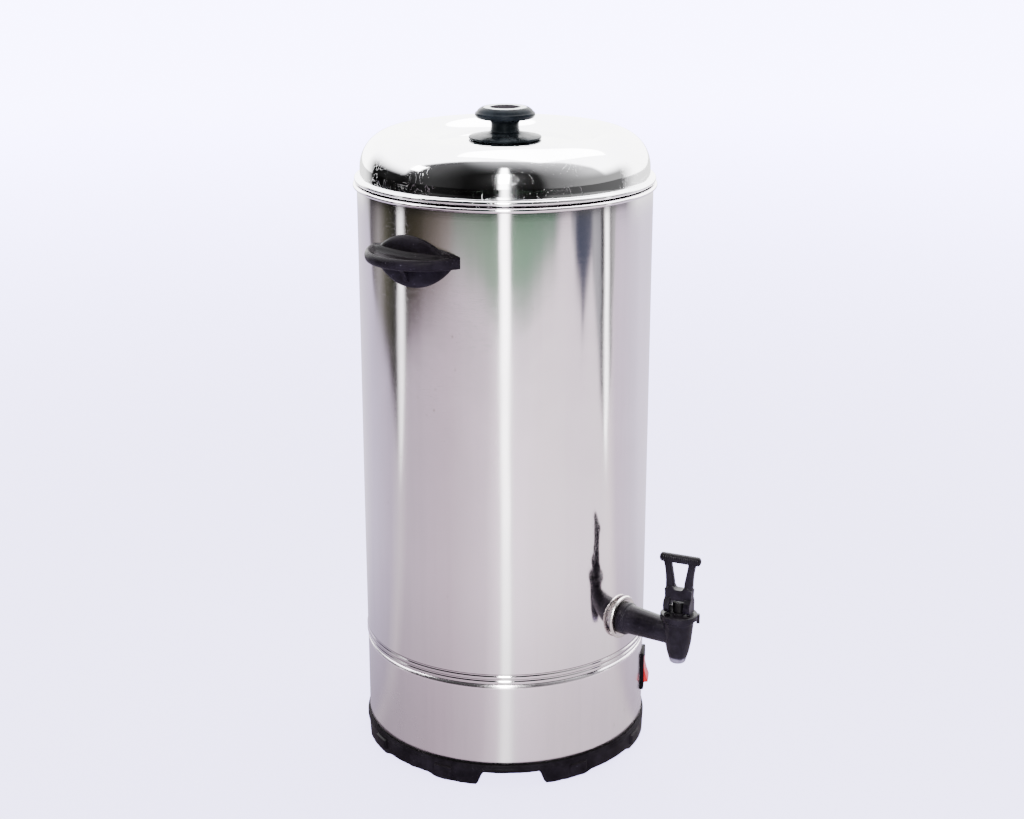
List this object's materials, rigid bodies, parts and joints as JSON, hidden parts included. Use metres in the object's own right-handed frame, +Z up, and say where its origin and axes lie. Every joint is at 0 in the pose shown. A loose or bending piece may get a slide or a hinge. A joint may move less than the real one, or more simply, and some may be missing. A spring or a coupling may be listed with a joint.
{
  "type": "electric hot-water urn",
  "caption": "Tall stainless steel hot-water urn with a lift-off lid and knob, black side handles, a lever tap near the bottom, a red rocker switch and a black plastic base ring.",
  "frame": {"origin": "on the tank's vertical axis, in the plane of the feet", "axes": "+Z up along the tank's axis, -Y along the tap's arm to the front, -X and +X through the two side handles"},
  "size_m": [0.336, 0.3585, 0.6114],
  "materials": {
    "tank_steel": "polished stainless sheet with fine vertical brushing and wiping haze",
    "skirt_steel": "polished stainless sheet, slightly hazy",
    "lid_steel": "bright polished stainless with fine scratches",
    "inner_steel": "dull stainless",
    "plated_steel": "zinc plated",
    "bright_washer": "bright pressed washer",
    "black_plastic": "moulded black plastic, slightly worn",
    "knob_plastic": "smooth dark slate plastic",
    "white_plastic": "white moulded ring",
    "knob_cap_film": "silver-grey textured film",
    "red_plastic": "translucent red rocker",
    "tap_plastic": "moulded black plastic with a satin shine",
    "nylon": "natural nylon",
    "bakelite": "brown phenolic moulding",
    "silicone": "cloudy silicone",
    "foot_rubber": "black rubber",
    "brass": "machined brass",
    "element_sheath": "heat-darkened sheath with scale",
    "lead_brown": "silicone sleeved lead",
    "lead_blue": "silicone sleeved lead",
    "lead_green": "silicone sleeved lead",
    "lead_red": "silicone sleeved lead"
  },
  "bodies": {
    "urn": {"tank_shell": "tank_steel", "tank_floor": "inner_steel", "skirt": "skirt_steel", "base_ring": "black_plastic", "base_plate": "plated_steel", "foot_pads": "foot_rubber", "base_screws": "plated_steel", "base_nuts": "plated_steel", "handle_left": "black_plastic", "handle_right": "black_plastic", "handle_screws": "plated_steel", "handle_seals": "silicone", "tap_body": "tap_plastic", "tap_washer": "bright_washer", "tap_seal_outer": "silicone", "tap_seal_inner": "silicone", "tap_nut": "nylon", "tap_bonnet": "tap_plastic", "valve_spring": "plated_steel", "heating_element": "element_sheath", "element_fittings": "brass", "element_seals": "silicone", "element_nuts": "brass", "thermostat": "bakelite", "boil_dry_cutout": "bakelite", "sensor_bracket": "plated_steel", "floor_studs": "plated_steel", "stud_nuts": "plated_steel", "terminal_block": "nylon", "terminal_screws": "plated_steel", "switch_housing": "black_plastic", "switch_blades": "brass", "inlet_housing": "black_plastic", "inlet_pins": "brass", "inlet_screws": "plated_steel", "inlet_nuts": "plated_steel", "live_lead": "lead_brown", "neutral_lead": "lead_blue", "earth_lead": "lead_green", "sensor_lead": "lead_red"},
    "lid": {"lid_shell": "lid_steel", "knob_flange": "knob_plastic", "knob_grip": "knob_plastic", "knob_ring": "white_plastic", "knob_cap": "knob_cap_film", "knob_screw": "plated_steel", "knob_washer": "plated_steel"},
    "valve_stem": {"valve_stem": "plated_steel", "seat_cup": "silicone"},
    "tap_lever": {"tap_lever": "tap_plastic", "lever_pin": "plated_steel"},
    "rocker": {"switch_rocker": "red_plastic"},
    "reset_button": {"reset_button": "red_plastic"}
  },
  "joints": [
    {"name": "lid_lift", "type": "slide", "parent": "urn", "child": "lid", "axis": [0, 0, 1], "range_m": [0, 0.15]},
    {"name": "stem_lift", "type": "slide", "parent": "urn", "child": "valve_stem", "axis": [0, 0, 1], "range_m": [0, 0.004], "stiffness_N_per_m": 500, "springref_m": -0.01, "deforming": ["valve_spring"]},
    {"name": "lever_pull", "type": "hinge", "parent": "valve_stem", "child": "tap_lever", "pos_m": [0, -0.1995, 0.177], "axis": [0.2334, -0.9724, 0], "range_deg": [0, 90.1]},
    {"name": "rocker_tip", "type": "hinge", "parent": "urn", "child": "rocker", "pos_m": [0.0665, -0.11518, 0.066], "axis": [0.866, 0.5, 0], "range_deg": [0, 24]},
    {"name": "reset_press", "type": "slide", "parent": "urn", "child": "reset_button", "axis": [0, 0, 1], "range_m": [0, 0.0018], "stiffness_N_per_m": 400}
  ],
  "couplings": [
    {"joint": "lever_pull", "follows": "stem_lift", "rad_per_m": 392.7}
  ]
}
